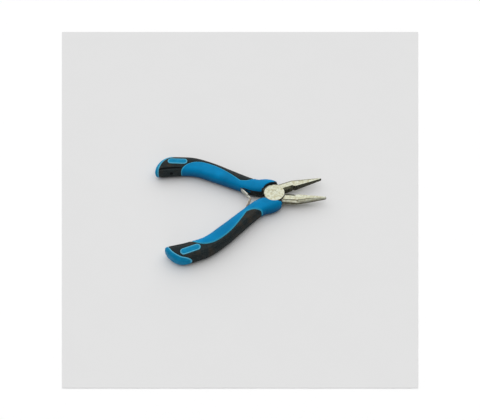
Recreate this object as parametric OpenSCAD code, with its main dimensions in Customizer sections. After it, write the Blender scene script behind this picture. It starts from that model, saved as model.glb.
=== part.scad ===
// Mini long nose pliers with a lap joint, two-colour handles and a leaf spring return.
// Both levers are the same part turned over. Each is drawn with the jaws shut, about the
// middle plane of the joint, and then opened by half the spring angle.
// +X points to the jaws, +Z up the pivot, and the origin is on the pivot axis at the
// underside of the lap joint.

/* [Joint] */
// Thickness of the lap joint, both halves together
joint_t = 6.7; // [6:0.1:8]
// Radius of the round lap on each lever
boss_r = 7.2; // [6.8:0.1:7.8]
// Radius of the pivot rivet
rivet_r = 2; // [1.4:0.1:2.6]
// Running clearance of the lower lever on the rivet, on radius
rivet_clear = 0.04; // [0.02:0.01:0.1]
// Gap between the two lap faces
lap_gap = 0.06; // [0.04:0.01:0.2]
// Clearance round a lap where the other lever steps past it
lap_clear = 0.8; // [0.3:0.05:0.9]
// Half of the angle at which the springs hold the levers open
open_half = 13; // [10:0.5:14]

/* [Jaws] */
// Pivot to jaw tip
jaw_len = 37; // [33:0.2:42]
// Pivot to the step at which the grip faces start
grip_start = 16.2; // [14.5:0.1:18]
// Width of one jaw at the grip start
jaw_w = 6.8; // [6:0.1:7.4]
// Thickness of the jaws at the grip start
jaw_t = 5.2; // [4.4:0.1:6]
// Width of one jaw at the tip
tip_w = 1.7; // [1.2:0.1:2.5]
// Thickness of the jaws at the tip
tip_t = 2.4; // [1.8:0.1:3.4]
// Gap left between the two grip faces when shut
bite_gap = 0.2; // [0.1:0.05:0.4]
// Radius of the relief notch between the cutter and the grip faces
notch_r = 1; // [0.6:0.1:1.3]
// Width of the bevels above and below the cutting edge, seen from above
bevel_w = 1.6; // [1:0.1:2]
// Height of those bevels
bevel_t = 0.75; // [0.5:0.05:1.2]
// Pitch of the teeth on the grip faces
tooth_pitch = 1; // [0.8:0.1:1.4]
// Depth of the teeth
tooth_d = 0.25; // [0.1:0.05:0.4]

/* [Levers] */
// Width of the steel neck behind the lap
neck_w = 6.4; // [5:0.2:7]
// Width of the tang at its end in the handle
tang_w = 4; // [3:0.2:5]
// Thickness of the tang
tang_t = 4.6; // [3.6:0.2:5.4]
// Length of the tang, from the pivot back
tang_len = 66; // [50:1:72]
// Clearance round the tang in the handle
tang_clear = 0.1; // [0.05:0.05:0.2]

/* [Handles] */
// Pivot to the tail of the handle
handle_len = 88.4; // [82:0.2:98]
// Thickness of the handles
handle_t = 10.9; // [9.8:0.1:12.5]
// Centre line to the outside of the grip, jaws shut
grip_span = 31.4; // [28:0.2:35]
// Width of the grip
grip_w = 14.4; // [13:0.2:16]
// Centre line to the outside of the guard, jaws shut
guard_span = 12.9; // [12:0.1:14]
// How far the guard reaches past the pivot
guard_x = 1.8; // [1:0.1:2.4]
// Centre line to the guard, jaws shut
guard_gap = 0.4; // [0.3:0.1:0.8]
// Pivot to the waist behind the guard
waist_x = 12; // [11:0.2:13.5]
// Clearance from the lap to the guard
guard_clear = 1.4; // [0.9:0.1:1.6]
// Thickness of the black skin and of the end cap
skin_t = 1.3; // [1:0.1:1.6]
// Thickness of the black lining round the lap
pad_t = 0.8; // [0.6:0.1:1]

/* [Badge] */
// Length of the badge, as a share of the grip behind the waist
badge_share = 0.189; // [0.16:0.001:0.2]
// Width of the badge
badge_w = 5; // [3.5:0.1:6]
// Height that the badge stands proud of the handle
badge_proud = 0.15; // [0.05:0.05:0.3]
// Waist to the middle of the badge, as a share of the grip behind the waist
badge_at = 0.79; // [0.785:0.001:0.8]

/* [Springs] */
// Thickness of the spring leaves
leaf_t = 0.7; // [0.5:0.1:0.9]
// Height of the spring leaves
leaf_h = 3.6; // [2.8:0.1:4.4]
// Pivot to the root of a leaf, along the centre line, jaws shut
leaf_x = 25.3; // [24:0.1:27]
// Depth of a leaf's root in from the inner face of the handle
leaf_sink = 1.5; // [1.3:0.1:1.8]
// Pivot to the crossing of the leaf tips, levers open
apex_x = 17.1; // [16.4:0.1:18]
// Radius of the rolled root of a leaf
bead_r = 0.8; // [0.6:0.1:0.9]
// Clearance round the springs
leaf_clear = 0.3; // [0.2:0.05:0.4]
// Height of the tongue at the end of the left leaf
tongue_h = 1.3; // [1:0.1:1.6]
// Length of the tongue and of the slot that it works in
tongue_len = 3.4; // [3:0.1:4]

/* [Hidden] */

steel = "silver";
blue = "dodgerblue";
black = "dimgray";
eps = 0.01;
far = 200;               // larger than the pliers, for cutting blocks
ring_n = 24;             // points round a handle section
steps = 2;               // rings between two stations of the handle
corner = 2.7;            // squareness of the handle section, 2 is an ellipse

half_j = joint_t / 2;
half_h = handle_t / 2;
clear_r = boss_r + lap_clear;

// ---- Helpers ----

// Smooth curve through the points p, with n steps between two of them
function catmull(a, b, c, d, s) =
    0.5 * (2 * b + (c - a) * s + (2 * a - 5 * b + 4 * c - d) * s * s + (3 * b - a - 3 * c + d) * s * s * s);
function smooth(p, n) = let (m = len(p) - 1) [
    for (i = [0 : m - 1], k = [0 : n - 1])
        catmull(p[max(i - 1, 0)], p[i], p[i + 1], p[min(i + 2, m)], k / n),
    p[m]];
function signed_pow(v, e) = sign(v) * pow(abs(v), e);

// Levers as they lie with the springs relaxed
module left_side() { translate([0, 0, half_j]) rotate([0, 0, -open_half]) children(); }
module right_side() { translate([0, 0, half_j]) rotate([0, 0, open_half]) rotate([180, 0, 0]) children(); }
module mirrored_side() { translate([0, 0, half_j]) rotate([0, 0, open_half]) mirror([0, 1, 0]) children(); }

// ---- Handle: a row of stations, each [x, inner y, outer y, half thickness] ----

grip_reach = handle_len - waist_x;
guard_len = guard_x + waist_x;
waist_out = guard_span - 0.8;
// Guard: share of its length, inner and outer edge, share of the thickness
guard_rows = [for (r = [[0, 0.5, 0.74, 0.5], [0.07, 0.36, 0.86, 0.8], [0.28, 0.13, 0.955, 0.96],
                        [0.57, 0.02, 1, 1], [0.85, 0, 0.96, 1]])
    [guard_x - r[0] * guard_len, guard_gap + r[1] * (guard_span - guard_gap), r[2] * guard_span, r[3] * half_h]];
// Grip: share of its reach, rise of the outer edge, share of the width and of the thickness
grip_rows = [for (r = [[0, 0, 0.81, 1], [0.08, 0.083, 0.84, 0.98], [0.24, 0.37, 0.91, 0.97],
                       [0.43, 0.715, 0.99, 1], [0.62, 0.96, 0.98, 1], [0.78, 0.99, 1.03, 1],
                       [0.88, 0.96, 1.05, 1], [0.945, 0.785, 0.86, 0.97], [0.985, 0.51, 0.5, 0.76],
                       [1, 0.31, 0.13, 0.3]])
    let (out = waist_out + r[1] * (grip_span - waist_out))
    [-waist_x - r[0] * grip_reach, max(out - r[2] * grip_w, guard_gap), out, r[3] * half_h]];
stations = concat(guard_rows, grip_rows);

// Middle and inner edge of the handle at a distance behind the pivot
function handle_mid(d) = (lookup(-d, [for (s = stations) [s[0], s[1] + s[2]]])) / 2;
function handle_inner(d) = lookup(-d, [for (s = stations) [s[0], s[1]]]);

// ---- Steel lever: the lap is in the lower half, the handle on +Y, the jaw on -Y ----

shoulder_x = 0.73 * boss_r;        // where the side of the jaw leaves the lap
shoulder_w = jaw_w - 0.3;
shoulder_t = joint_t - 0.5;
face_y = bite_gap / 2;
mid_x = (grip_start + jaw_len) / 2 - 1;
mid_w = 0.58 * jaw_w + 0.42 * tip_w;
mid_t = 0.54 * jaw_t + 0.46 * tip_t;

// Section of a jaw: a flat inner face, a flat top as wide as the given share, a bevelled side
function half_section(w, t, share) =
    [[-face_y, t / 2 - 0.2], [-face_y - 0.2, t / 2], [-w * share, t / 2], [-w, 0.22 * t]];
module jaw_slice(x, w, t, share) {
    top = half_section(w, t, share);
    translate([x, 0, 0]) rotate([90, 0, 90]) linear_extrude(eps)
        polygon(concat(top, [for (i = [len(top) - 1 : -1 : 0]) [top[i][0], -top[i][1]]]));
}
module nose() {
    hull() {
        jaw_slice(grip_start - eps, jaw_w, jaw_t, 0.88);
        jaw_slice(mid_x, mid_w, mid_t, 0.7);
    }
    hull() {
        jaw_slice(mid_x, mid_w, mid_t, 0.7);
        jaw_slice(jaw_len - 0.6, tip_w, tip_t, 0.6);
        jaw_slice(jaw_len - eps, tip_w - 0.5, tip_t - 0.5, 0.6);
    }
}
// Block between the lap and the nose, which carries the side cutter
module cheek() {
    hull() {
        jaw_slice(grip_start - eps, jaw_w, jaw_t, 0.88);
        jaw_slice(shoulder_x, shoulder_w, shoulder_t, 0.9);
    }
    linear_extrude(shoulder_t, center = true)
        polygon([[1, -face_y - bevel_w], [shoulder_x + eps, -face_y - bevel_w],
                 [shoulder_x + eps, -0.9 * shoulder_w], [1, -0.9 * boss_r]]);
}
// Bevels above and below the cutting edge, and the notch in front of it
module bevel_slice(x, t) {
    slope = bevel_t / bevel_w;
    edge = [-face_y, t / 2 - bevel_t];
    low = edge + [1, -slope];
    high = edge + [-bevel_w - 1, bevel_t + slope];
    translate([x, 0, 0]) rotate([90, 0, 90]) linear_extrude(eps) polygon([low, high, [low[0], high[1]]]);
}
module cutter_cuts() {
    for (side = [0, 1]) mirror([0, 0, side]) hull() {
        bevel_slice(shoulder_x, shoulder_t);
        bevel_slice(grip_start - notch_r, jaw_t);
    }
    translate([grip_start - notch_r, -face_y, -joint_t]) cylinder(r = notch_r, h = 2 * joint_t, $fn = 48);
}
module teeth() {
    for (x = [grip_start + tooth_pitch : tooth_pitch : jaw_len - 1.5 * tooth_pitch])
        translate([x, -face_y, 0]) rotate([0, 0, 45])
            cube([tooth_d * sqrt(2), tooth_d * sqrt(2), joint_t], center = true);
}
// Outline of the neck and tang, grown by g on every side
tang_line = [[-4, 0.62 * boss_r], [-waist_x, 0.5 * (guard_gap + guard_span)],
             [-0.36 * tang_len, handle_mid(0.36 * tang_len)],
             [-0.68 * tang_len, handle_mid(0.68 * tang_len)], [-tang_len, handle_mid(tang_len)]];
tang_widths = [neck_w, neck_w - 0.4, 0.6 * neck_w + 0.4 * tang_w, tang_w, tang_w - 0.4];
function tang_side(g) = let (p = smooth(tang_line, 4), w = smooth(tang_widths, 4), m = len(p) - 1) [
    for (i = [0 : m]) let (d = p[min(i + 1, m)] - p[max(i - 1, 0)], u = d / norm(d))
        p[i] + [-u[1], u[0]] * (w[i] / 2 + g) + (i == m ? u * g : [0, 0])];
function tang_outline(g) = let (b = smooth(tang_line, 4), s = tang_side(g), m = len(b) - 1) concat(
    s, [for (i = [m : -1 : 0]) 2 * b[i] - s[i] + (i == m ? [-2 * g, 0] : [0, 0])]);
module tang(g = 0) {
    difference() {
        linear_extrude(tang_t + 2 * g, center = true) polygon(tang_outline(g));
        translate([0, 0, -lap_gap / 2 - g]) cylinder(r = clear_r - g, h = joint_t, $fn = 96);
    }
}
module lever(bore_r) {
    color(steel) difference() {
        union() {
            translate([0, 0, -half_j]) cylinder(r = boss_r, h = half_j - lap_gap / 2, $fn = 96);
            difference() {
                union() {
                    nose();
                    cheek();
                }
                translate([0, 0, -lap_gap / 2]) cylinder(r = clear_r, h = joint_t, $fn = 96);
                cutter_cuts();
                teeth();
            }
            tang();
        }
        translate([0, 0, -joint_t]) cylinder(r = bore_r, h = 2 * joint_t, $fn = 64);
    }
}
module rivet() {
    color(steel) cylinder(r = rivet_r, h = joint_t, $fn = 64);
}

// ---- Handle sections ----

// Section of the handle, drawn in by g
function squeeze(x, g) = let (a = -handle_len, b = guard_x)
    (x - (a + b) / 2) * (1 - 2 * g / (b - a)) + (a + b) / 2;
function ring(s, g) = let (w = max((s[2] - s[1]) / 2 - g, 0.4), h = max(s[3] - g, 0.4)) [
    for (k = [0 : ring_n - 1]) let (a = 360 * k / ring_n)
        [squeeze(s[0], g), (s[1] + s[2]) / 2 + w * signed_pow(cos(a), 2 / corner),
         h * signed_pow(sin(a), 2 / corner)]];
module handle_form(g = 0) {
    rows = smooth(stations, steps);
    m = len(rows) - 1;
    points = [for (s = rows) each ring(s, g)];
    sides = [for (i = [0 : m - 1], k = [0 : ring_n - 1]) let (j = (k + 1) % ring_n)
        [i * ring_n + k, i * ring_n + j, (i + 1) * ring_n + j, (i + 1) * ring_n + k]];
    ends = [[for (k = [ring_n - 1 : -1 : 0]) k], [for (k = [0 : ring_n - 1]) m * ring_n + k]];
    polyhedron(points, concat(sides, ends), convexity = 6);
}

// Plan of the black grip: its front edge, the curved edge of the blue inlay, then the tail
inlay_edge = smooth([for (r = [[0.17, 0.4], [0.3, 0.64], [0.42, 0.73], [0.555, 0.69], [0.66, 0.5], [0.73, 0.2],
                               [0.755, -0.1]])
    let (d = waist_x + r[0] * grip_reach, a = handle_inner(d), b = 2 * handle_mid(d) - a) [-d, a + r[1] * (b - a)]], 4);
grip_front = [-waist_x - 0.035 * grip_reach, -waist_x - 0.074 * grip_reach];
module grip_zone() {
    linear_extrude(far, center = true)
        polygon(concat([[grip_front[0], far / 4], [grip_front[0], waist_out + 0.3],
                        [grip_front[1], waist_out - 1.2]], inlay_edge, [[-far, -1], [-far, far / 4]]));
}
// Plan of the end cap, a crescent round the tail and its outer corner
cap_edge = smooth([for (r = [[0.965, -0.2], [0.945, 0.3], [0.9, 0.68], [0.84, 0.88], [0.74, 1.15]])
    let (d = waist_x + r[0] * grip_reach, a = grip_span - grip_w) [-d, a + r[1] * grip_w]], 4);
module cap_zone() {
    linear_extrude(far, center = true)
        polygon(concat(cap_edge, [[cap_edge[len(cap_edge) - 1][0], far / 4], [-far, far / 4], [-far, cap_edge[0][1]]]));
}
// Soft pad on the inner wall of the guard and round the lap, under the guard's top edge
pad_top = 0.5 * half_h;
module pad_zone() {
    back = waist_x + 0.14 * grip_reach;
    translate([-back, -far / 2, -far])
        cube([back - boss_r - guard_clear, far / 2 + guard_gap + 0.26 * guard_span, far + pad_top]);
}
module lap_space(g = 0) {
    cylinder(r = boss_r + guard_clear + g, h = far, center = true, $fn = 96);
}
module lining_zone() {
    intersection() {
        lap_space(pad_t);
        translate([0, 0, pad_top - far / 2]) cube(far, center = true);
    }
}

module core() {
    color(blue) difference() {
        union() {
            handle_form(skin_t);
            difference() {
                handle_form();
                grip_zone();
                cap_zone();
                pad_zone();
            }
        }
        lap_space();
        lining_zone();
        tang(tang_clear);
        leaf_pocket();
    }
}
module skin() {
    difference() {
        handle_form();
        handle_form(skin_t);
    }
}
module overmould() {
    color(black) difference() {
        intersection() {
            skin();
            grip_zone();
        }
        cap_zone();
    }
}
module neck_pad() {
    color(black) difference() {
        union() {
            intersection() {
                skin();
                pad_zone();
            }
            intersection() {
                handle_form();
                lining_zone();
            }
        }
        lap_space();
        tang(tang_clear);
        leaf_pocket();
    }
}
module end_cap() {
    color("steelblue") intersection() {
        skin();
        cap_zone();
    }
}
// The badge lies in a slot in the top of the grip
badge_x = waist_x + badge_at * grip_reach;
badge_len = badge_share * grip_reach;
badge_y = handle_mid(badge_x) + 0.07 * grip_w;
module badge_plan(h) {
    translate([-badge_x, badge_y, half_h - skin_t]) for (x = [-1, 1])
        translate([x * (badge_len - badge_w) / 2, 0, 0]) cylinder(d = badge_w, h = h, $fn = 48);
    translate([-badge_x - (badge_len - badge_w) / 2, badge_y - badge_w / 2, half_h - skin_t])
        cube([badge_len - badge_w, badge_w, h]);
}
module badge() {
    color("steelblue") difference() {
        badge_plan(skin_t + badge_proud);
        handle_form(skin_t);
    }
}

// ---- Springs: each leaf is rooted in its handle, and the tips cross on the centre line ----

root = [-leaf_x, handle_inner(leaf_x) + leaf_sink];
root_open = [root[0] * cos(open_half) + root[1] * sin(open_half),
             root[1] * cos(open_half) - root[0] * sin(open_half)];
leaf_len = norm([-apex_x, 0] - root_open);
leaf_open = atan2(-root_open[1], -apex_x - root_open[0]) + open_half;
leaf_shut = -asin(root[1] / leaf_len);

module leaf_plate(len, h) {
    translate([0, -leaf_t / 2, -h / 2]) cube([len, leaf_t, h]);
}
module leaf(forked) {
    color(steel) translate(root) rotate([0, 0, leaf_open]) difference() {
        union() {
            cylinder(r = bead_r, h = leaf_h, center = true, $fn = 48);
            leaf_plate(forked ? leaf_len : leaf_len - tongue_len, leaf_h);
            leaf_plate(leaf_len, tongue_h);
        }
        if (forked) translate([leaf_len - tongue_len, 0, 0])
            cube([2 * tongue_len + eps, 4 * leaf_t, tongue_h + 2 * leaf_clear], center = true);
    }
}
// Room for a leaf's root, and for the leaf as it folds against the handle
module leaf_pocket() {
    reach = leaf_len + leaf_clear;
    half = leaf_t / 2 + leaf_clear;
    translate(root) linear_extrude(leaf_h + 2 * leaf_clear, center = true) {
        circle(r = bead_r + leaf_clear, $fn = 48);
        for (a = [leaf_open, leaf_shut]) rotate(a) translate([0, -half]) square([reach, 2 * half]);
        polygon([[0, 0], for (a = [leaf_open, leaf_shut]) reach * [cos(a), sin(a)]]);
    }
}

// ---- Nodes ----

module left_lever() { left_side() lever(rivet_r + rivet_clear); }
module right_lever() { right_side() lever(rivet_r); }
module pivot_rivet() { rivet(); }
module left_spring() { left_side() leaf(false); }
module right_spring() { mirrored_side() leaf(true); }
module left_core() { left_side() core(); }
module right_core() { mirrored_side() core(); }
module left_overmould() { left_side() difference() { overmould(); badge_plan(half_h); } }
module right_overmould() { mirrored_side() difference() { overmould(); badge_plan(half_h); } }
module left_neck_pad() { left_side() neck_pad(); }
module right_neck_pad() { mirrored_side() neck_pad(); }
module left_end_cap() { left_side() end_cap(); }
module right_end_cap() { mirrored_side() end_cap(); }
module left_badge() { left_side() badge(); }
module right_badge() { mirrored_side() badge(); }

left_lever();
right_lever();
pivot_rivet();
left_spring();
right_spring();
left_core();
right_core();
left_overmould();
right_overmould();
left_neck_pad();
right_neck_pad();
left_end_cap();
right_end_cap();
left_badge();
right_badge();
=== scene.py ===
"""Mini long nose pliers: the dressed pieces, the floor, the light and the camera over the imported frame.

The two handles are one design, mirrored, and the two steel levers are one part, turned over. Each is
drawn in millimetres with the jaws shut, about the middle plane of the joint, and then opened.
"""

import math

import bmesh
import bpy
import numpy as np
from mathutils import Matrix, Vector


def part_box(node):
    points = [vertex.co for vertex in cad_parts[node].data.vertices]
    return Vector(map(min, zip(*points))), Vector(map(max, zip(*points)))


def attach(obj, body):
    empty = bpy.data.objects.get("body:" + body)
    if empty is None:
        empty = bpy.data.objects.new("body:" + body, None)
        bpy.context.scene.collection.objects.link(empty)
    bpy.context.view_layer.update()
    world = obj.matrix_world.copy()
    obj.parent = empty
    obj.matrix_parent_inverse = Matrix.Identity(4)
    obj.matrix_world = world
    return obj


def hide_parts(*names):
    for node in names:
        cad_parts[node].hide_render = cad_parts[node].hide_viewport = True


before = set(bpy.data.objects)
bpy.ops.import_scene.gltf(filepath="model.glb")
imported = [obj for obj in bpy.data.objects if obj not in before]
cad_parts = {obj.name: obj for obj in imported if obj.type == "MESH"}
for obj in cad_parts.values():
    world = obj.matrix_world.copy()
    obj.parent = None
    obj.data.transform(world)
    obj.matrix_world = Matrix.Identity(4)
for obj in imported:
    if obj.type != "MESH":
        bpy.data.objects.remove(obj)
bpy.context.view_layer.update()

MM = 0.001
FAR = 200.0  # mm, larger than the pliers

# ---- Sizes, in mm ----

rivet_low, rivet_high = (np.array(corner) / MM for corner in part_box("pivot_rivet"))
JOINT_T = rivet_high[2] - rivet_low[2]
RIVET_R = (rivet_high[0] - rivet_low[0]) / 2
HALF_J = JOINT_T / 2
OPEN = math.radians(13)

BOSS_R = 7.2
LAP_GAP = 0.06
LAP_CLEAR = 0.8

JAW_LEN = 37.0
GRIP_START = 16.2
JAW_W, JAW_T = 6.8, 5.2
TIP_W, TIP_T = 1.7, 2.4
BITE_GAP = 0.2
NOTCH_R = 1.0
BEVEL_W, BEVEL_T = 1.6, 0.75
TOOTH_PITCH, TOOTH_D = 1.0, 0.25

NECK_W, TANG_W, TANG_T, TANG_LEN = 6.4, 4.0, 4.6, 66.0
TANG_CLEAR = 0.1

HANDLE_LEN, HANDLE_T = 88.4, 10.9
HALF_H = HANDLE_T / 2
GRIP_SPAN, GRIP_W = 31.4, 14.4
GUARD_SPAN, GUARD_X, GUARD_GAP = 12.9, 1.8, 0.4
WAIST_X = 12.0
GUARD_CLEAR = 1.4
SKIN_T, PAD_T = 1.3, 0.8
CORNER = 2.7  # squareness of the handle section, 2 is an ellipse

LEAF_T, LEAF_H = 0.7, 3.6
LEAF_X, LEAF_SINK = 25.3, 1.5
APEX_X = 17.1
BEAD_R = 0.8
LEAF_CLEAR = 0.3
TONGUE_H, TONGUE_LEN = 1.3, 3.4

BADGE_W = 5.0

FORM_STEP = 0.3  # spacing of the handle's surface mesh
FORM_ROUND = 128  # points round a handle section
FORM_INSET = 0.08  # keeps the smooth form inside the faceted one

# ---- Small mesh tools ----


def solid(name, verts, faces):
    """A mesh object from points in mm."""
    mesh = bpy.data.meshes.new(name)
    mesh.from_pydata([tuple(v) for v in verts], [], [tuple(f) for f in faces])
    obj = bpy.data.objects.new(name, mesh)
    bpy.context.collection.objects.link(obj)
    tidy_normals(obj)
    return obj


def tidy_normals(obj):
    """Turns all faces outward."""
    bm = bmesh.new()
    bm.from_mesh(obj.data)
    bmesh.ops.recalc_face_normals(bm, faces=bm.faces)
    bm.to_mesh(obj.data)
    bm.free()


def stack(name, rings):
    """Closed solid through rings of equally many points, with flat ends."""
    rings = np.asarray(rings, float)
    m, n = rings.shape[:2]
    faces = [
        (i * n + k, i * n + (k + 1) % n, (i + 1) * n + (k + 1) % n, (i + 1) * n + k)
        for i in range(m - 1)
        for k in range(n)
    ]
    ends = [tuple(range(n - 1, -1, -1)), tuple((m - 1) * n + k for k in range(n))]
    return solid(name, rings.reshape(-1, 3), faces + ends)


def extrude(name, outline, low, high):
    """Solid of an outline in plan between two heights."""
    return stack(name, [[(x, y, z) for x, y in outline] for z in (low, high)])


def lathe(name, profile, count=128):
    """Solid of revolution about Z from (radius, z) pairs, closed by a flat disc at each end."""
    turns = [2 * math.pi * k / count for k in range(count)]
    return stack(name, [[(r * math.cos(a), r * math.sin(a), z) for a in turns] for r, z in profile])


def hull(name, points):
    """Convex hull of the points, with its flat faces whole."""
    obj = solid(name, points, [])
    bm = bmesh.new()
    bm.from_mesh(obj.data)
    made = bmesh.ops.convex_hull(bm, input=bm.verts)
    spare = {g for g in made["geom_interior"] + made["geom_unused"] if isinstance(g, bmesh.types.BMVert)}
    bmesh.ops.delete(bm, geom=list(spare), context="VERTS")
    bmesh.ops.dissolve_limit(bm, angle_limit=math.radians(0.5), verts=bm.verts, edges=bm.edges)
    bmesh.ops.recalc_face_normals(bm, faces=bm.faces)
    bm.to_mesh(obj.data)
    bm.free()
    return obj


def bake(obj):
    """Applies obj's modifiers to its mesh."""
    graph = bpy.context.evaluated_depsgraph_get()
    mesh = bpy.data.meshes.new_from_object(obj.evaluated_get(graph))
    mesh.materials.clear()
    obj.modifiers.clear()
    obj.data = mesh


def copy(obj, name):
    """A second object with its own copy of the mesh."""
    new = bpy.data.objects.new(name, obj.data.copy())
    bpy.context.collection.objects.link(new)
    return new


def drop(*objs):
    """Removes objects that only served to cut others."""
    for obj in objs:
        bpy.data.objects.remove(obj)


def boolean(obj, operation, *tools, keep=False):
    """obj cut by, joined with or limited to each tool in turn. The tools go unless keep is set."""
    for tool in tools:
        mod = obj.modifiers.new("boolean", "BOOLEAN")
        mod.solver = "MANIFOLD"
        mod.operation = operation
        mod.object = tool
        bake(obj)
    if not keep:
        drop(*tools)
    return obj


def bevel(obj, width, segments=2, angle=30):
    """Rounds the edges sharper than an angle, once flat faces are whole again."""
    bm = bmesh.new()
    bm.from_mesh(obj.data)
    bmesh.ops.remove_doubles(bm, verts=bm.verts, dist=1e-4)
    bmesh.ops.dissolve_limit(bm, angle_limit=math.radians(0.8), verts=bm.verts, edges=bm.edges)
    bm.to_mesh(obj.data)
    bm.free()
    mod = obj.modifiers.new("bevel", "BEVEL")
    mod.width = width
    mod.segments = segments
    mod.limit_method = "ANGLE"
    mod.angle_limit = math.radians(angle)
    bake(obj)


def polar(radius, degrees, centre=(0, 0)):
    """A plan point by its radius and angle about a centre."""
    a = math.radians(degrees)
    return (centre[0] + radius * math.cos(a), centre[1] + radius * math.sin(a))


# ---- Places: each half drawn shut, then opened ----

LIFT = Matrix.Translation((0, 0, HALF_J))
OPENED = {
    "left": LIFT @ Matrix.Rotation(-OPEN, 4, "Z"),
    "mirrored": LIFT @ Matrix.Rotation(OPEN, 4, "Z") @ Matrix.Scale(-1, 4, (0, 1, 0)),
    "turned": LIFT @ Matrix.Rotation(OPEN, 4, "Z") @ Matrix.Rotation(math.pi, 4, "X"),
    "middle": Matrix.Identity(4),
}


def piece(obj, node, side, body, slot, *materials, sharp=32, edge=None, facets=False):
    """Puts a drawn solid in place as the visible form of a CAD node.

    The function passed for painted light gives each point a value from 0 to 1 while it is still in the
    drawing's frame, which the materials read as an attribute of the same name: a painted highlight along
    seams, painted shade in the grip's recesses. With facets, flat faces stay flat up to their bevels.
    """
    obj.name = "dressed_" + node
    obj.data.name = obj.name
    if edge:
        values = edge(np.array([v.co for v in obj.data.vertices]))
        kept = obj.data.attributes.new("edge", "FLOAT", "POINT")
        kept.data.foreach_set("value", values.astype(np.float32))
    obj.data.transform(Matrix.Scale(MM, 4) @ OPENED[side])
    tidy_normals(obj)
    obj.data.shade_smooth()
    obj.data.set_sharp_from_angle(angle=math.radians(sharp))
    if facets:
        obj.modifiers.new("flat facets", "WEIGHTED_NORMAL").keep_sharp = True
    for mat in materials:
        obj.data.materials.append(mat)
    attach(obj, body)
    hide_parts(node)


# ---- Handle form ----

GRIP_REACH = HANDLE_LEN - WAIST_X
GUARD_LEN = GUARD_X + WAIST_X
WAIST_OUT = GUARD_SPAN - 0.8
# Share of the length, inner and outer edge as shares of the span, share of the half thickness
GUARD_ROWS = [(0, 0.5, 0.74, 0.5), (0.07, 0.36, 0.86, 0.8), (0.28, 0.13, 0.955, 0.96), (0.57, 0.02, 1, 1),
              (0.85, 0, 0.96, 1)]
# Share of the reach, rise of the outer edge, shares of the width and of the half thickness
GRIP_ROWS = [(0, 0, 0.81, 1), (0.08, 0.083, 0.84, 0.98), (0.24, 0.37, 0.91, 0.97), (0.43, 0.715, 0.99, 1),
             (0.62, 0.96, 0.98, 1), (0.78, 0.99, 1.03, 1), (0.88, 0.96, 1.05, 1), (0.945, 0.785, 0.86, 0.97),
             (0.985, 0.51, 0.5, 0.76), (1, 0.31, 0.13, 0.3)]


def stations():
    """Rows of x, inner y, outer y and half thickness, from the guard to the tail."""
    rows = [(GUARD_X - r * GUARD_LEN, GUARD_GAP + a * (GUARD_SPAN - GUARD_GAP), b * GUARD_SPAN, t * HALF_H)
            for r, a, b, t in GUARD_ROWS]
    for r, rise, width, t in GRIP_ROWS:
        out = WAIST_OUT + rise * (GRIP_SPAN - WAIST_OUT)
        rows.append((-WAIST_X - r * GRIP_REACH, max(out - width * GRIP_W, GUARD_GAP), out, t * HALF_H))
    return np.array(rows)


def smooth(points, count):
    """Catmull-Rom curve through the points, with count steps between two of them."""
    p = np.asarray(points, float)
    p = np.vstack([p[:1], p, p[-1:]])
    out = []
    for a, b, c, d in zip(p, p[1:], p[2:], p[3:]):
        for s in np.arange(count) / count:
            out.append(0.5 * (2 * b + (c - a) * s + (2 * a - 5 * b + 4 * c - d) * s**2
                              + (3 * b - a - 3 * c + d) * s**3))
    return np.array(out + [p[-1]])


def respace(rows, step):
    """The same curve with points about step apart."""
    run = np.concatenate([[0], np.cumsum(np.linalg.norm(np.diff(rows, axis=0), axis=1))])
    at = np.linspace(0, run[-1], max(int(run[-1] / step), 2) + 1)
    return np.column_stack([np.interp(at, run, column) for column in rows.T])


CURVE = smooth(stations(), 24)


def along(d, column):
    """Inner y (1), outer y (2) or half thickness (3) of the handle at distance d behind the pivot."""
    return np.interp(d, -CURVE[:, 0], CURVE[:, column])


def handle_mid(d):
    """Y of the handle's middle line at distance d behind the pivot."""
    return (along(d, 1) + along(d, 2)) / 2


def unit_section(count):
    """Evenly spaced points of the handle's section, scaled to a half width and half height of 1."""
    a = np.linspace(0, 2 * math.pi, 4001)
    y = np.sign(np.cos(a)) * np.abs(np.cos(a)) ** (2 / CORNER)
    z = np.sign(np.sin(a)) * np.abs(np.sin(a)) ** (2 / CORNER)
    aspect = GRIP_W / HANDLE_T
    run = np.concatenate([[0], np.cumsum(np.hypot(np.diff(y) * aspect, np.diff(z)))])
    at = np.linspace(0, run[-1], count, endpoint=False)
    return np.column_stack([np.interp(at, run, y), np.interp(at, run, z)])


def handle_grid(inset=0.0, step=FORM_STEP, count=FORM_ROUND):
    """Rings of points on the handle form, drawn in by inset."""
    rows = respace(CURVE, step)
    section = unit_section(count)
    mid = (GUARD_X - HANDLE_LEN) / 2
    x = (rows[:, 0] - mid) * (1 - 2 * inset / (GUARD_X + HANDLE_LEN)) + mid
    half = np.maximum((rows[:, 2] - rows[:, 1]) / 2 - inset, 0.4)
    high = np.maximum(rows[:, 3] - inset, 0.4)
    grid = np.empty((len(rows), count, 3))
    grid[:, :, 0] = x[:, None]
    grid[:, :, 1] = (rows[:, 1] + rows[:, 2])[:, None] / 2 + half[:, None] * section[:, 0]
    grid[:, :, 2] = high[:, None] * section[:, 1]
    return grid


def grid_normals(grid):
    """Outward directions at the points of the grid."""
    along_x = np.gradient(grid, axis=0)
    around = np.roll(grid, -1, axis=1) - np.roll(grid, 1, axis=1)
    n = np.cross(around, along_x)
    n /= np.maximum(np.linalg.norm(n, axis=2, keepdims=True), 1e-9)
    centre = grid.mean(axis=1, keepdims=True)
    return n * np.sign(np.sum(n * (grid - centre), axis=(0, 1, 2)))


# ---- Plans of the handle's colours ----


def edge_row(r, share):
    """A point at share r of the grip's reach, at a share of its width from the inner edge."""
    d = WAIST_X + r * GRIP_REACH
    return (-d, along(d, 1) + share * (along(d, 2) - along(d, 1)))


INLAY_ROWS = [(0.17, 0.4), (0.3, 0.64), (0.42, 0.73), (0.555, 0.69), (0.66, 0.5), (0.73, 0.2), (0.755, -0.1)]
INLAY_EDGE = smooth([edge_row(*row) for row in INLAY_ROWS], 10)
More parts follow.
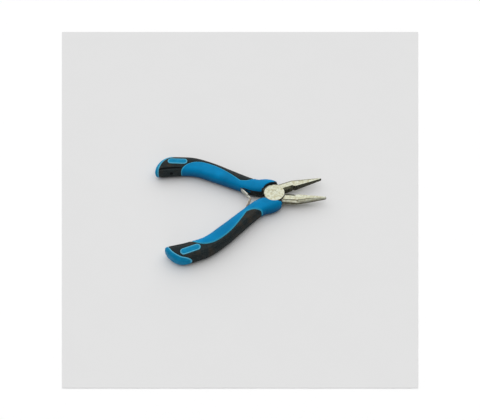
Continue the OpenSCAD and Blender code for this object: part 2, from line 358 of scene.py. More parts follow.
# Share of the reach, distance outside the waist
FRONT_ROWS = [(0.035, 1.6), (0.036, 0.2), (0.062, -1.4)]
GRIP_FRONT = smooth([(-WAIST_X - r * GRIP_REACH, WAIST_OUT + rise) for r, rise in FRONT_ROWS]
                    + [edge_row(0.11, 0.55), edge_row(*INLAY_ROWS[0])], 8)
BLACK_EDGE = np.vstack([GRIP_FRONT[:-1], INLAY_EDGE])
GRIP_PLAN = [(GRIP_FRONT[0][0], FAR / 4), *BLACK_EDGE, (-FAR, -1), (-FAR, FAR / 4)]
# Share of the reach, share of the grip's width
CAP_ROWS = [(0.965, -0.2), (0.945, 0.3), (0.9, 0.68), (0.84, 0.88), (0.74, 1.15)]
CAP_EDGE = smooth([(-WAIST_X - r * GRIP_REACH, GRIP_SPAN - GRIP_W + share * GRIP_W)
                   for r, share in CAP_ROWS], 10)
CAP_PLAN = [*CAP_EDGE, (CAP_EDGE[-1][0], FAR / 4), (-FAR, FAR / 4), (-FAR, CAP_EDGE[0][1])]

BADGE_X = WAIST_X + 0.79 * GRIP_REACH
BADGE_LEN = 0.189 * GRIP_REACH
BADGE_Y = handle_mid(BADGE_X) + 0.07 * GRIP_W


def pill(grow, count=24):
    """Outline of the badge, grown by an amount."""
    r = BADGE_W / 2 + grow
    half = (BADGE_LEN - BADGE_W) / 2
    ends = [polar(r, a, (-BADGE_X + half, BADGE_Y)) for a in np.linspace(-90, 90, count)]
    return ends + [polar(r, a, (-BADGE_X - half, BADGE_Y)) for a in np.linspace(90, 270, count)]


def closed(outline):
    """An outline with its first point again at its end."""
    return outline + outline[:1]


def inside(points, outline):
    """True for each plan point inside the closed outline."""
    a = np.asarray(outline, float)
    b = np.roll(a, -1, axis=0)
    x, y = points[:, :1], points[:, 1:2]
    crosses = (a[:, 1] > y) != (b[:, 1] > y)
    rise = np.where(b[:, 1] == a[:, 1], 1.0, b[:, 1] - a[:, 1])
    return (crosses & (x < (b[:, 0] - a[:, 0]) * (y - a[:, 1]) / rise + a[:, 0])).sum(axis=1) % 2 == 1


def distance(points, line):
    """Distance from each plan point to an open line."""
    line = np.asarray(line, float)
    best = np.full(len(points), 1e9)
    for a, b in zip(line, line[1:]):
        t = np.clip(((points - a) @ (b - a)) / max((b - a) @ (b - a), 1e-9), 0, 1)
        best = np.minimum(best, np.linalg.norm(points - (a + t[:, None] * (b - a)), axis=1))
    return best


def bump(d, place, width):
    """A smooth hump of height 1 at a place."""
    return np.exp(-(((d - place) / width) ** 2))


def step_up(d, place, width):
    """0 before a place and 1 after it, with a soft step."""
    return 1 / (1 + np.exp((place - d) / width))


# ---- Handle relief: grooves along the seams, the raised inlay rim and the small marks ----

SEAM_DEPTH, SEAM_WIDTH = 0.38, 0.42
CAP_SEAM = 0.8  # size of the groove along the cap against the groove along the inlay
RIM_RISE, RIM_PLACE, RIM_WIDTH = 0.12, 0.95, 0.4  # the bead of the inlay beside its seam
CAP_RISE, CAP_RIM_PLACE, CAP_RIM_WIDTH = 0.08, 0.8, 0.35
SINK_DEPTH, SINK_REACH = 0.12, 1.5  # the grip sinks towards the seam
BADGE_GROOVE, BADGE_GROOVE_WIDTH = 0.22, 0.3
CREASE_DEPTH, CREASE_START = 0.5, WAIST_X + 0.75 * GRIP_REACH
CREASE_SHARE, CREASE_WIDTH = 0.8, 0.08  # as shares of the half thickness
DIMPLE_X, DIMPLE_Z, DIMPLE_R, DIMPLE_DEPTH = 76.2, 0.8, 1.1, 0.8
MARK_DEPTH, MARK_GAP, MARK_WIDTH, MARK_REACH = 0.3, 1.3, 0.3, 1.6
GUARD_LINE = 1.2  # from the front outline of the guard to the line round it
GUARD_LINE_DEPTH, GUARD_LINE_WIDTH = 0.2, 0.35


def inner_marks(points):
    """The crease between the top and the inner wall of the tail, and the dimple in that wall, each 0 to 1."""
    back = -points[:, 0]
    inner = points[:, 1] < handle_mid(back)
    share = points[:, 2] / np.maximum(along(back, 3), 0.1)
    crease = step_up(back, CREASE_START, 0.8) * bump(share, CREASE_SHARE, CREASE_WIDTH)
    dimple = step_up(-np.hypot(back - DIMPLE_X, points[:, 2] - DIMPLE_Z), -DIMPLE_R, 0.12)
    return inner * crease, inner * dimple


def guard_line(points):
    """The fine line round the front and the outer side of the guard, 0 to 1."""
    nose = CURVE[CURVE[:, 0] > -0.8 * WAIST_X]
    outline = np.vstack([nose[::-1][:, [0, 2]], nose[:1][:, [0, 1]]])
    line = bump(distance(points[:, :2], outline), GUARD_LINE, GUARD_LINE_WIDTH)
    front = step_up(points[:, 0], -0.45 * WAIST_X, 0.6)
    outer = np.clip((points[:, 1] - along(-points[:, 0], 1)) / 3, 0, 1)
    return line * front * outer


def relief(grid):
    """Height of the handle's surface over its smooth form, at each point of the grid."""
    flat = grid.reshape(-1, 3)
    plan = flat[:, :2]
    on_cap = inside(plan, CAP_PLAN)
    on_black = inside(plan, GRIP_PLAN) & ~on_cap
    up = flat[:, 2] > 0
    seam = distance(plan, BLACK_EDGE)
    rim = distance(plan, CAP_EDGE)
    badge = distance(plan, closed(pill(0.1)))
    crease, dimple = inner_marks(flat)

    h = -SEAM_DEPTH * bump(seam, 0, SEAM_WIDTH) - SEAM_DEPTH * CAP_SEAM * bump(rim, 0, SEAM_WIDTH * CAP_SEAM)
    h += np.where(~on_black & ~on_cap & up, RIM_RISE * bump(seam, RIM_PLACE, RIM_WIDTH), 0)
    h += np.where(on_cap & up, CAP_RISE * bump(rim, CAP_RIM_PLACE, CAP_RIM_WIDTH), 0)
    h -= np.where(on_black, SINK_DEPTH * np.exp(-seam / SINK_REACH), 0)
    round_badge = on_black & up & ~inside(plan, pill(0))
    h -= np.where(round_badge, BADGE_GROOVE * bump(badge, 0, BADGE_GROOVE_WIDTH), 0)
    dents = CREASE_DEPTH * crease + DIMPLE_DEPTH * dimple
    h -= np.where(on_black, dents, GUARD_LINE_DEPTH * guard_line(flat))
    for k in (1, 2):  # two short marks ahead of the badge
        ahead = bump(flat[:, 0], -BADGE_X + BADGE_LEN / 2 + MARK_GAP * k, MARK_WIDTH)
        across = bump(flat[:, 1], BADGE_Y - 0.3, MARK_REACH)
        h -= np.where(up & on_black, MARK_DEPTH * (ahead * across), 0)
    return h.reshape(grid.shape[:2])


HIGHLIGHT_LINE = 0.8  # width of the painted highlight line along a seam


def seam_highlight(line):
    """How near a point lies to a seam, 1 on it and 0 away from it, on the upper side, for the painted
    highlight along the seam.
    """
    def value(points):
        near = np.clip(1.25 - distance(points[:, :2], line) / HIGHLIGHT_LINE, 0, 1)
        return near * (points[:, 2] > -0.3 * HALF_H)
    return value


def grip_shade(points):
    """1 where shade is painted on the grip, in the crease and the dimple."""
    return np.maximum(*inner_marks(points))


NOSE_RISE = 0.7
NOSE_STEPS = np.radians((78, 60, 42, 25, 12))


def outer_form(name):
    """The whole handle with its relief, and a domed front."""
    grid = handle_grid(FORM_INSET)
    grid = grid + grid_normals(grid) * relief(grid)[:, :, None]
    first = grid[0]
    centre = first.mean(axis=0)
    nose = [centre + (first - centre) * math.cos(a) + np.array([NOSE_RISE * math.sin(a), 0, 0])
            for a in NOSE_STEPS]
    return stack(name, np.concatenate([np.array(nose), grid]))


# ---- Steel levers ----

SHOULDER_X, SHOULDER_W, SHOULDER_T = 0.73 * BOSS_R, JAW_W - 0.3, JOINT_T - 0.5
FACE_Y = BITE_GAP / 2
MID_X = (GRIP_START + JAW_LEN) / 2 - 1
MID_W, MID_T = 0.58 * JAW_W + 0.42 * TIP_W, 0.54 * JAW_T + 0.46 * TIP_T
CHAMFER = 0.2
EASE = 0.12  # share of the width that slopes off along the top
TIP_NOSE, TIP_ROUND = 0.6, 0.5  # length and amount by which the tip narrows at its very end
LEVER_BEVEL, LEAF_BEVEL = 0.16, 0.12


def jaw_section(x, w, t, share):
    """Section of a jaw: a flat inner face, a top that eases off towards a share of the width, and a bevelled
    side."""
    top = [(-FACE_Y, t / 2 - CHAMFER), (-FACE_Y - CHAMFER, t / 2), (-w * (share - EASE), t / 2),
           (-w * share, 0.45 * t), (-w, 0.2 * t)]
    return [(x, y, z) for y, z in top] + [(x, y, -z) for y, z in reversed(top)]


GRIP_SECTION = jaw_section(GRIP_START, JAW_W, JAW_T, 0.88)


def wedge(x, t):
    """Section of what the cutter's bevel takes off the jaw's upper inner edge."""
    slope = BEVEL_T / BEVEL_W
    low = (-FACE_Y + 1, t / 2 - BEVEL_T - slope)
    high = (-FACE_Y - BEVEL_W - 1, t / 2 + slope)
    return [(x, *low), (x, *high), (x, low[0], high[1])]


def tang(grow):
    """The neck and tang, grown by an amount on every side."""
    centre = smooth([(-4, 0.62 * BOSS_R), (-WAIST_X, 0.5 * (GUARD_GAP + GUARD_SPAN)),
                     *((-s * TANG_LEN, handle_mid(s * TANG_LEN)) for s in (0.36, 0.68, 1))], 6)
    widths = [[w] for w in (NECK_W, NECK_W - 0.4, 0.6 * NECK_W + 0.4 * TANG_W, TANG_W, TANG_W - 0.4)]
    widths = smooth(widths, 6)[:, 0]
    way = np.gradient(centre, axis=0)
    way /= np.linalg.norm(way, axis=1, keepdims=True)
    aside = np.column_stack([-way[:, 1], way[:, 0]]) * (widths / 2 + grow)[:, None]
    centre[-1] += way[-1] * grow
    outline = np.vstack([centre + aside, (centre - aside)[::-1]])
    bar = extrude("tang", outline, -TANG_T / 2 - grow, TANG_T / 2 + grow)
    return boolean(bar, "DIFFERENCE", lathe("lap", [(BOSS_R + LAP_CLEAR - grow, -LAP_GAP / 2 - grow),
                                                    (BOSS_R + LAP_CLEAR - grow, JOINT_T)]))


def lever(bore_r):
    """The lower half of the lap, its handle bar on +Y and its jaw on -Y."""
    boss = lathe("lever", [(BOSS_R, -HALF_J), (BOSS_R, -LAP_GAP / 2)], 160)
    jaw = hull("jaw", GRIP_SECTION + jaw_section(MID_X, MID_W, MID_T, 0.7))
    tip = hull("tip", jaw_section(MID_X, MID_W, MID_T, 0.7)
               + jaw_section(JAW_LEN - TIP_NOSE, TIP_W, TIP_T, 0.6)
               + jaw_section(JAW_LEN, TIP_W - TIP_ROUND, TIP_T - TIP_ROUND, 0.6))
    cheek = hull("cheek", GRIP_SECTION + jaw_section(SHOULDER_X, SHOULDER_W, SHOULDER_T, 0.9))
    block = extrude("block", [(1, -FACE_Y - BEVEL_W), (SHOULDER_X + 0.01, -FACE_Y - BEVEL_W),
                              (SHOULDER_X + 0.01, -0.9 * SHOULDER_W), (1, -0.9 * BOSS_R)],
                    -SHOULDER_T / 2, SHOULDER_T / 2)
    head = boolean(jaw, "UNION", tip, cheek, block)
    upper = lathe("lap", [(BOSS_R + LAP_CLEAR, -LAP_GAP / 2), (BOSS_R + LAP_CLEAR, JOINT_T)], 160)
    bevels = [hull("bevel", [(x, y, side * z) for x, y, z in wedge(SHOULDER_X, SHOULDER_T)
                             + wedge(GRIP_START - NOTCH_R, JAW_T)]) for side in (1, -1)]
    notch = lathe("notch", [(NOTCH_R, -JOINT_T), (NOTCH_R, JOINT_T)], 48)
    notch.data.transform(Matrix.Translation((GRIP_START - NOTCH_R, -FACE_Y, 0)))
    boolean(head, "DIFFERENCE", upper, *bevels, notch)
    boolean(boss, "UNION", head, tang(0))
    boolean(boss, "DIFFERENCE", lathe("bore", [(bore_r, -JOINT_T), (bore_r, JOINT_T)], 96))
    bevel(boss, LEVER_BEVEL)
    teeth = []
    for x in np.arange(GRIP_START + TOOTH_PITCH, JAW_LEN - 1.5 * TOOTH_PITCH, TOOTH_PITCH):
        teeth.append(extrude("tooth", [(x - TOOTH_D, 0), (x - TOOTH_D, -FACE_Y), (x, -FACE_Y - TOOTH_D),
                                       (x + TOOTH_D, -FACE_Y), (x + TOOTH_D, 0)], -JAW_T, JAW_T))
    return boolean(boss, "DIFFERENCE", *teeth)


# ---- Springs ----

ROOT = np.array([-LEAF_X, along(LEAF_X, 1) + LEAF_SINK])
ROOT_OPEN = np.array([ROOT[0] * math.cos(OPEN) + ROOT[1] * math.sin(OPEN),
                      ROOT[1] * math.cos(OPEN) - ROOT[0] * math.sin(OPEN)])
LEAF_LEN = math.hypot(-APEX_X - ROOT_OPEN[0], ROOT_OPEN[1])
LEAF_OPEN = math.atan2(-ROOT_OPEN[1], -APEX_X - ROOT_OPEN[0]) + OPEN
LEAF_SHUT = -math.asin(ROOT[1] / LEAF_LEN)
AT_ROOT = Matrix.Translation((*ROOT, 0))


def strip(name, length, height):
    """A straight blade of the leaf's thickness from the origin along +X."""
    half = LEAF_T / 2
    return extrude(name, [(0, -half), (length, -half), (length, half), (0, half)], -height / 2, height / 2)


def leaf(forked):
    """A leaf as it stands when the tool is open: a rolled root, and a blade ending in a fork or a tongue."""
    root = lathe("leaf", [(BEAD_R, -LEAF_H / 2), (BEAD_R, LEAF_H / 2)], 48)
    boolean(root, "UNION", strip("blade", LEAF_LEN if forked else LEAF_LEN - TONGUE_LEN, LEAF_H))
    if forked:
        slot = strip("slot", 2 * TONGUE_LEN, TONGUE_H + 2 * LEAF_CLEAR)
        slot.data.transform(Matrix.Translation((LEAF_LEN - TONGUE_LEN, 0, 0)) @ Matrix.Scale(4, 4, (0, 1, 0)))
        boolean(root, "DIFFERENCE", slot)
    else:
        boolean(root, "UNION", strip("tongue", LEAF_LEN, TONGUE_H))
    bevel(root, LEAF_BEVEL)
    root.data.transform(AT_ROOT @ Matrix.Rotation(LEAF_OPEN, 4, "Z"))
    return root


def leaf_pocket():
    """Room for a leaf's root, and for the leaf as it folds against the handle."""
    reach, half = LEAF_LEN + LEAF_CLEAR, LEAF_T / 2 + LEAF_CLEAR
    high = LEAF_H / 2 + LEAF_CLEAR
    pocket = lathe("pocket", [(BEAD_R + LEAF_CLEAR, -high), (BEAD_R + LEAF_CLEAR, high)], 48)
    fan = [polar(reach, math.degrees(a)) for a in np.linspace(LEAF_OPEN, LEAF_SHUT, 9)]
    boolean(pocket, "UNION", extrude("fan", [(0, 0), *fan], -high, high))
    for a in (LEAF_OPEN, LEAF_SHUT):
        lane = extrude("lane", [(0, -half), (reach, -half), (reach, half), (0, half)], -high, high)
        lane.data.transform(Matrix.Rotation(a, 4, "Z"))
        boolean(pocket, "UNION", lane)
    pocket.data.transform(AT_ROOT)
    return pocket


# ---- Handle pieces: four cut from the one form, and the badge ----

LAP_R = BOSS_R + GUARD_CLEAR
PAD_TOP = 0.5 * HALF_H
LINING_TOP = 0.87 * HALF_H
FLARE = 0.5  # radius of the rounded edge where the guard steps down to the lap
PAD_BACK, PAD_Y = WAIST_X + 0.14 * GRIP_REACH, GUARD_GAP + 0.26 * GUARD_SPAN
SLOT_BELOW = 0.4  # how far the badge's slot reaches below the skin


def lap_space():
    """The round room for the lap, wider at its top and bottom edges."""
    arc = [(LAP_R + FLARE * (1 - math.cos(a)), HALF_H - FLARE + FLARE * math.sin(a))
           for a in np.radians((0, 15, 30, 45, 60, 75, 90))]
    half = arc + [(LAP_R + FLARE, FAR)]
    return lathe("lap_space", [(r, -z) for r, z in reversed(half)] + half)


def handle_pieces():
    """The five pieces of a handle: four cut from the one form, and the badge."""
    outer = outer_form("core")
    inner = stack("inner", handle_grid(SKIN_T, 1.2, 48))
    grip = extrude("grip", GRIP_PLAN, -FAR, FAR)
    cap = extrude("cap", CAP_PLAN, -FAR, FAR)
    slot = extrude("slot", pill(0.0), HALF_H - SKIN_T - SLOT_BELOW, FAR)
    pad_plan = [(-PAD_BACK, -FAR), (-LAP_R, -FAR), (-LAP_R, PAD_Y), (-PAD_BACK, PAD_Y)]
    pad = extrude("pad", pad_plan, -FAR, PAD_TOP)
    lining = lathe("lining", [(LAP_R + PAD_T, -FAR), (LAP_R + PAD_T, LINING_TOP)])
    holes = [lap_space(), tang(TANG_CLEAR), leaf_pocket()]

    end_cap = boolean(copy(outer, "end_cap"), "INTERSECT", cap, keep=True)
    boolean(end_cap, "DIFFERENCE", inner, keep=True)
    skin = boolean(copy(outer, "overmould"), "INTERSECT", grip, keep=True)
    boolean(skin, "DIFFERENCE", cap, inner, slot, keep=True)
    soft = boolean(copy(outer, "neck_pad"), "INTERSECT", pad, keep=True)
    boolean(soft, "DIFFERENCE", inner, keep=True)
    ring = boolean(copy(outer, "ring"), "INTERSECT", lining, keep=True)
    boolean(soft, "UNION", ring)
    boolean(soft, "DIFFERENCE", *holes, keep=True)
    boolean(outer, "DIFFERENCE", grip, cap, pad, keep=True)
    boolean(outer, "UNION", inner, keep=True)
    boolean(outer, "DIFFERENCE", lining, *holes, keep=True)
    drop(inner, grip, cap, slot, pad, lining, *holes)
    return {"core": outer, "overmould": skin, "neck_pad": soft, "end_cap": end_cap, "badge": badge()}


def top_height(x, y):
    """Height of the handle's top over the middle plane at plan point x, y."""
    half = (along(-x, 2) - along(-x, 1)) / 2
    t = min(abs(y - handle_mid(-x)) / half, 1)
    return along(-x, 3) * (1 - t**CORNER) ** (1 / CORNER)


# Distance in from the badge's outline, height over the handle's smooth top less BADGE_RISE
BADGE_PROFILE = [(0, -0.3), (0.03, -0.12), (0.12, 0.02), (0.25, 0.09), (0.4, 0.1), (0.55, 0.06),
                 (0.68, -0.03), (0.82, -0.03), (0.95, 0.03), (1.3, 0.06), (1.8, 0.08), (2.3, 0.08)]
BADGE_RISE = 0.03


def badge():
    """A pill with a rounded edge and a fine rim line, set in its slot."""
    rings = [[(x, y, HALF_H - SKIN_T) for x, y in pill(0)]]
    for inset, rise in BADGE_PROFILE:
        rings.append([(x, y, top_height(x, y) + rise + BADGE_RISE) for x, y in pill(-inset)])
    return stack("badge", rings)


# ---- Materials ----


class Paint:
    """A material with a node tree, built line by line."""

    def __init__(self, name, roughness, metallic=0.0, **sockets):
        self.mat = bpy.data.materials.new(name)
        self.mat.use_nodes = True
        self.tree = self.mat.node_tree
        self.shader = self.tree.nodes["Principled BSDF"]
        self.shader.inputs["Roughness"].default_value = roughness
        self.shader.inputs["Metallic"].default_value = metallic
        for socket, value in sockets.items():
            self.shader.inputs[socket.replace("_", " ")].default_value = value
        self.place = self.node("ShaderNodeTexCoord").outputs["Object"]

    def node(self, kind, **inputs):
        """A new node with its inputs set, by a value or by another node's output."""
        node = self.tree.nodes.new(kind)
        for socket, value in inputs.items():
            self.feed(node.inputs[socket.replace("_", " ")], value)
        return node

    def feed(self, socket, value):
        """Links an input to another node's output, or sets it to a value."""
        if isinstance(value, bpy.types.NodeSocket):
            self.tree.links.new(value, socket)
        else:
            socket.default_value = value

    def noise(self, size, detail=3.0, stretch=(1, 1, 1), turn=0.0):
        """Noise with features of about the given size in mm."""
        place = self.node("ShaderNodeMapping", Vector=self.place, Rotation=(0, 0, turn), Scale=stretch)
        made = self.node("ShaderNodeTexNoise", Vector=place.outputs[0], Scale=1 / (size * MM), Detail=detail)
        return made.outputs["Fac"]

    def dots(self, size):
        """Distance to the nearest of many points, about a size in mm apart."""
        made = self.node("ShaderNodeTexVoronoi", Vector=self.place, Scale=1 / (size * MM), Randomness=0.35)
        return made.outputs["Distance"]

    def ramp(self, value, low, high, out_low=0.0, out_high=1.0):
        """The value mapped from low and high to out_low and out_high, and held there beyond them."""
        made = self.node("ShaderNodeMapRange", Value=value)
        for k, number in enumerate((low, high, out_low, out_high)):
            made.inputs[k + 1].default_value = number
        return made.outputs[0]

    def times(self, a, b):
        """The product of two values."""
        made = self.node("ShaderNodeMath")
        made.operation = "MULTIPLY"
        self.feed(made.inputs[0], a)
        self.feed(made.inputs[1], b)
        return made.outputs[0]

    def mix(self, amount, a, b):
        """Colour a where amount is 0, colour b where it is 1."""
        made = self.tree.nodes.new("ShaderNodeMix")
        made.data_type = "RGBA"
        self.feed(made.inputs[0], amount)
        self.feed(made.inputs[6], a)
        self.feed(made.inputs[7], b)
        return made.outputs[2]

    def edge(self, low=0.15, high=0.75):
        """Where light is painted, from the piece's own attribute: 1 on a painted highlight along the seams,
        and on painted shade in the grip's crease and dimple.
        """
        made = self.node("ShaderNodeAttribute")
        made.attribute_name = "edge"
        return self.ramp(made.outputs["Fac"], low, high)

    def height(self, low, high):
        """0 below one height in mm over the joint's underside, 1 above the other."""
        z = self.node("ShaderNodeSeparateXYZ", Vector=self.place).outputs["Z"]
        return self.ramp(z, low * MM, high * MM)

    def near_edge(self, radius):
        """1 beside sharp edges, fading out at the given radius in mm."""
        rounded = self.node("ShaderNodeBevel", Radius=radius * MM)
        made = self.node("ShaderNodeVectorMath")
        made.operation = "DOT_PRODUCT"
        self.feed(made.inputs[0], rounded.outputs[0])
        self.feed(made.inputs[1], self.node("ShaderNodeNewGeometry").outputs["Normal"])
        return self.ramp(made.outputs["Value"], 0.995, 0.9)

    def worn(self, low, high):
        """1 on raised edges, 0 elsewhere."""
        return self.ramp(self.node("ShaderNodeNewGeometry").outputs["Pointiness"], low, high)

    def finish(self, colour, roughness, *bumps):
        """The finished material, with bumps of height, strength and depth in mm."""
        self.feed(self.shader.inputs["Base Color"], colour)
        self.feed(self.shader.inputs["Roughness"], roughness)
        normal = None
        for height, strength, depth in bumps:
            made = self.node("ShaderNodeBump", Height=height, Strength=strength, Distance=depth * MM)
            if normal:
                self.feed(made.inputs["Normal"], normal)
            normal = made.outputs[0]
        if normal:
            self.feed(self.shader.inputs["Normal"], normal)
        return self.mat


def srgb(r, g, b):
    """Linear colour from 0-255 values."""
    line = [c / 255 / 12.92 if c <= 10 else ((c / 255 + 0.055) / 1.055) ** 2.4 for c in (r, g, b)]
    return (*line, 1.0)


# In each material the tone is built up: broad patches, fine specks, then painted shade low down, wear, and
# the painted highlights along seams and painted shade in the grip's recesses.


def blue_plastic():
    """Hard blue plastic with painted shade low down, lighter on worn edges, and a painted highlight along the
    seams.
    """
    p = Paint("blue_plastic", 0.4, Specular_IOR_Level=0.06)
    tone = p.mix(p.ramp(p.noise(14), 0.35, 0.65), srgb(0, 118, 168), srgb(0, 136, 192))
    tone = p.mix(p.times(p.ramp(p.noise(0.7, 4), 0.5, 0.75), 0.25), tone, srgb(0, 100, 150))
    # painted shade: the handle gets darker towards its underside, where less light falls
    tone = p.mix(p.height(0.5, 8.4), srgb(0, 68, 108), tone)
    tone = p.mix(p.times(p.worn(0.52, 0.6), 0.3), tone, srgb(30, 156, 200))
    # painted highlight: a lighter line along the inlay's seam, where its rounded rim would catch the light
    tone = p.mix(p.times(p.edge(), 0.8), tone, srgb(64, 172, 204))
    rough = p.ramp(p.noise(1.5), 0.3, 0.7, 0.3, 0.42)
    return p.finish(tone, rough, (p.noise(0.25, 2), 0.12, 0.05), (p.noise(4, 1), 0.08, 0.3))


def light_blue_plastic():
    """The lighter blue of the caps and badges."""
    p = Paint("light_blue_plastic", 0.42, Specular_IOR_Level=0.08)
    tone = p.mix(p.ramp(p.noise(3), 0.35, 0.65), srgb(0, 120, 164), srgb(8, 134, 178))
    tone = p.mix(p.times(p.ramp(p.noise(0.6, 4), 0.5, 0.72), 0.35), tone, srgb(0, 104, 150))
    tone = p.mix(p.times(p.worn(0.52, 0.62), 0.08), tone, srgb(80, 170, 200))
    # painted highlight: a lighter line along the seams of the cap and the badge
    tone = p.mix(p.times(p.edge(), 0.85), tone, srgb(96, 184, 212))
    rough = p.ramp(p.noise(1), 0.3, 0.7, 0.32, 0.46)
    return p.finish(tone, rough, (p.noise(0.35, 2), 0.25, 0.08))


def black_rubber():
    """Soft black grip with a pebbled grain, and painted shade in the crease and the dimple."""
    p = Paint("black_rubber", 0.62, Specular_IOR_Level=0.12)
    tone = p.mix(p.ramp(p.noise(6), 0.48, 0.7), srgb(27, 36, 38), srgb(54, 47, 38))
    tone = p.mix(p.ramp(p.dots(0.9), 0.1, 0.5), srgb(56, 62, 62), tone)
    tone = p.mix(p.times(p.worn(0.52, 0.62), 0.4), tone, srgb(84, 84, 80))
    # painted shade: near black in the crease and the dimple
    tone = p.mix(p.edge(0.2, 0.7), tone, srgb(2, 5, 8))
    rough = p.ramp(p.noise(0.8), 0.3, 0.7, 0.5, 0.7)
    grain = p.ramp(p.dots(0.9), 0.15, 0.55, 1, 0)
    return p.finish(tone, rough, (grain, 0.5, 0.08), (p.noise(0.3, 2), 0.15, 0.04))


def steel(name, light, dark, turn, rough=(0.28, 0.4), bright_edges=0.5):
    """Steel between a light and a dark tone, with grinding lines at an angle and bright edges."""
    p = Paint(name, 0.3, 1.0)
    tone = p.mix(p.ramp(p.noise(1.6, 4), 0.42, 0.62), light, dark)
    tone = p.mix(p.times(p.ramp(p.noise(0.5, 2), 0.5, 0.66), 0.5), tone, dark)
    tone = p.mix(p.times(p.near_edge(0.35), bright_edges), tone, srgb(236, 235, 226))
    lines = p.noise(0.12, 2, (0.06, 1, 1), turn)
    gloss = p.ramp(p.noise(1.2), 0.3, 0.7, *rough)
    return p.finish(tone, gloss, (lines, 0.1, 0.02), (p.noise(1.8, 3), 0.03, 0.15))


# ---- Pieces ----

BLUE, LIGHT, BLACK = blue_plastic(), light_blue_plastic(), black_rubber()
STEEL_LIGHT, STEEL_DARK = srgb(200, 203, 186), srgb(176, 173, 146)
# Darker tones of the same steel that paint shade: the bite tones paint the dark reflection on the grip faces,
# bevels and notch and the shadow in the step round the lap; the side tones paint the shade on the jaw's sides
# and the eased strip.
BITE_SHADE_LIGHT, BITE_SHADE_DARK = srgb(90, 90, 72), srgb(48, 50, 38)
SIDE_SHADE_LIGHT, SIDE_SHADE_DARK = srgb(120, 120, 106), srgb(84, 78, 62)
TURNS = {"left": OPEN, "turned": -OPEN}
PLATE = {side: steel("steel_" + side, STEEL_LIGHT, STEEL_DARK, turn) for side, turn in TURNS.items()}
# painted shade and painted dark reflection: darker copies of the same steel for the lever's shaded faces
SHADED_BITE = {side: steel("bite_shaded_steel_" + side, BITE_SHADE_LIGHT, BITE_SHADE_DARK, turn, (0.4, 0.55), 0.1)
        for side, turn in TURNS.items()}
SHADED_SIDE = {side: steel("side_shaded_steel_" + side, SIDE_SHADE_LIGHT, SIDE_SHADE_DARK, turn, (0.34, 0.48), 0.3)
        for side, turn in TURNS.items()}
# Both leaves are the same spring steel; the mirrored leaf's darker tones are painted shade.
SPRING = {side: steel("spring_" + side, srgb(*light), srgb(*dark), turn)
          for side, light, dark, turn in (("left", (214, 216, 206), (170, 168, 156), 0.6),
                                          ("mirrored", (172, 164, 150), (118, 106, 92), -0.6))}


# Parts of a face's normal that tell one kind of face from another
INWARD, UPRIGHT, SIDEWAYS = 0.2, 0.5, 0.35
SLOPED_LOW, SLOPED_HIGH = 0.9, 0.995


def mark_shaded_faces(obj):
    """Gives the faces of a lever that isn't placed yet their material.

    The grip faces, the cutter bevels, the notch and the step round the lap take the second one, darker steel
    that paints their dark reflections and the shadow in the step. The jaw's side and the eased strip along
    its top take the third, darker steel that paints their shade.
    """
    for face in obj.data.polygons:
        c, n = face.center, face.normal
        grip = c.x > SHOULDER_X and c.y > -FACE_Y - BEVEL_W - 0.1 and n.y > INWARD
        step = c.x > 0 and math.hypot(c.x, c.y) < LAP_R and (abs(n.z) < UPRIGHT or -0.2 < c.z < 0)
        if grip or step:
            face.material_index = 1
        elif c.x > 0.4 * BOSS_R and (abs(n.z) < SIDEWAYS or SLOPED_LOW < abs(n.z) < SLOPED_HIGH):
            face.material_index = 2


BORE_CLEAR = 0.04  # the left lever turns on the rivet
for side, node, bore, body in (("left", "left_lever", RIVET_R + BORE_CLEAR, "left_half"),
                               ("turned", "right_lever", RIVET_R, "right_half")):
    bar = lever(bore)
    mark_shaded_faces(bar)
    piece(bar, node, side, body, "steel", PLATE[side], SHADED_BITE[side], SHADED_SIDE[side], sharp=40, facets=True)

RIVET_EDGE = 0.12
rivet_end = [(RIVET_R - 2 * RIVET_EDGE, 0), (RIVET_R - RIVET_EDGE, RIVET_EDGE / 3), (RIVET_R, 2 * RIVET_EDGE)]
rivet = lathe("rivet", rivet_end + [(r, JOINT_T - z) for r, z in reversed(rivet_end)], 96)
piece(rivet, "pivot_rivet", "middle", "right_half", "steel", PLATE["turned"], facets=True)

piece(leaf(False), "left_spring", "left", "left_leaf", "spring_steel", SPRING["left"], facets=True)
piece(leaf(True), "right_spring", "mirrored", "right_leaf", "spring_steel", SPRING["mirrored"], facets=True)

FINISH = {"core": ("blue_plastic", BLUE), "overmould": ("black_rubber", BLACK),
          "neck_pad": ("black_rubber", BLACK), "end_cap": ("light_blue_plastic", LIGHT),
          "badge": ("light_blue_plastic", LIGHT)}
# painted highlights along the seams of the blue pieces, and painted shade in the grip's crease and dimple
PAINTED_LIGHT_MAPS = {"core": seam_highlight(BLACK_EDGE), "overmould": grip_shade, "end_cap": seam_highlight(CAP_EDGE),
         "badge": seam_highlight(closed(pill(0)))}
for part, form in handle_pieces().items():
    slot_name, mat = FINISH[part]
    edge = PAINTED_LIGHT_MAPS.get(part)
    piece(copy(form, part), "left_" + part, "left", "left_half", slot_name, mat, edge=edge)
    piece(form, "right_" + part, "mirrored", "right_half", slot_name, mat, edge=edge)

# ---- Camera ----

IMAGE_W, IMAGE_H = 480, 420
# Fitted to the outlines of both handles and both jaws
AIM_AZ, AIM_EL, AIM_ROLL = (math.radians(a) for a in (-6.5997, 51.6091, -2.7554))
CAMERA_AT = Vector((-71.13, -396.96, 496.44)) * MM
LENS, SENSOR_W = 66.675, 36

back = Vector((math.sin(AIM_AZ) * math.cos(AIM_EL), -math.cos(AIM_AZ) * math.cos(AIM_EL), math.sin(AIM_EL)))
level = Vector((0, 0, 1)).cross(back).normalized()
rise = back.cross(level)
right = level * math.cos(AIM_ROLL) + rise * math.sin(AIM_ROLL)
upward = rise * math.cos(AIM_ROLL) - level * math.sin(AIM_ROLL)

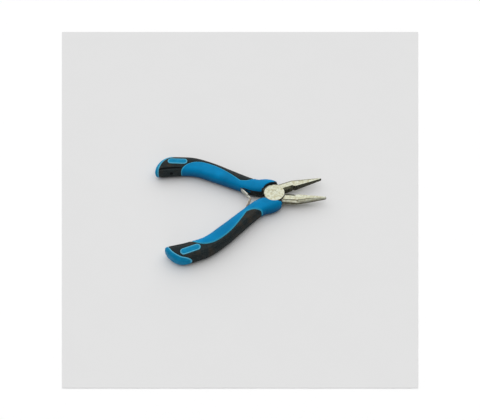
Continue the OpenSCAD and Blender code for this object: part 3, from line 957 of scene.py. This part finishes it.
camera = bpy.data.objects.new("camera", bpy.data.cameras.new("camera"))
bpy.context.collection.objects.link(camera)
camera.matrix_world = Matrix.Translation(CAMERA_AT) @ Matrix((right, upward, back)).transposed().to_4x4()
camera.data.sensor_width = SENSOR_W
camera.data.lens = LENS
camera.data.clip_start = 0.01
bpy.context.scene.camera = camera

# ---- Floor: a grey sheet on a white ground ----

FLOOR_Z = (HALF_J - HALF_H) * MM
SHEET_LEFT, SHEET_TOP, SHEET_SIZE = 62, 32, 356  # the grey square in the image, in pixels
FOCAL = LENS / SENSOR_W * IMAGE_W  # in pixels
GROUND, GROUND_BELOW = 3.0, 0.3 * MM  # half width of the white ground in m, and its place under the sheet
SPECKLE = 0.995  # the darker of a flat colour's two tones


def on_floor(px, py):
    """The floor point seen at an image pixel."""
    ray = right * (px - IMAGE_W / 2) + upward * (IMAGE_H / 2 - py) - back * FOCAL
    return CAMERA_AT + ray * ((FLOOR_Z - CAMERA_AT.z) / ray.z)


def flat_sheet(name, corners, z, colour):
    """A flat sheet of one colour that only the picture needs."""
    p = Paint(name, 0.85, Specular_IOR_Level=0.0)
    darker = tuple(c * SPECKLE for c in colour[:3]) + (1.0,)
    mat = p.finish(p.mix(p.ramp(p.noise(30), 0.4, 0.6), colour, darker), 0.85)
    obj = solid(name, [(c.x, c.y, z) for c in corners], [(0, 1, 2, 3)])
    obj.data.materials.append(mat)


SHEET_RIGHT, SHEET_LOW = SHEET_LEFT + SHEET_SIZE, SHEET_TOP + SHEET_SIZE
sheet_corners = [on_floor(x, y) for x, y in ((SHEET_LEFT, SHEET_LOW), (SHEET_RIGHT, SHEET_LOW),
                                             (SHEET_RIGHT, SHEET_TOP), (SHEET_LEFT, SHEET_TOP))]
flat_sheet("sheet", sheet_corners, FLOOR_Z, srgb(226, 226, 226))
ground_corners = [Vector((x * GROUND, y * GROUND, 0)) for x, y in ((-1, -1), (1, -1), (1, 1), (-1, 1))]
flat_sheet("ground", ground_corners, FLOOR_Z - GROUND_BELOW, srgb(255, 255, 255))

# ---- Light ----


def sun(name, azimuth, elevation, spread, strength):
    """A soft sun from a direction in degrees, azimuth from +X towards +Y, spread across its disc."""
    data = bpy.data.lights.new(name, "SUN")
    data.angle = math.radians(spread)
    data.energy = strength
    obj = bpy.data.objects.new(name, data)
    bpy.context.collection.objects.link(obj)
    a, e = math.radians(azimuth), math.radians(elevation)
    ray = Vector((math.cos(a) * math.cos(e), math.sin(a) * math.cos(e), math.sin(e)))
    obj.rotation_euler = ray.to_track_quat("Z", "Y").to_euler()


sun("key", azimuth=97, elevation=63, spread=124, strength=2.7)
sun("low", azimuth=-97, elevation=17, spread=30, strength=0.25)

world = bpy.data.worlds.new("world")
world.use_nodes = True
sky = world.node_tree.nodes["Background"].inputs
sky["Color"].default_value = (1, 1, 1, 1)
sky["Strength"].default_value = 0.22
bpy.context.scene.world = world
bpy.context.scene.view_settings.view_transform = "Standard"
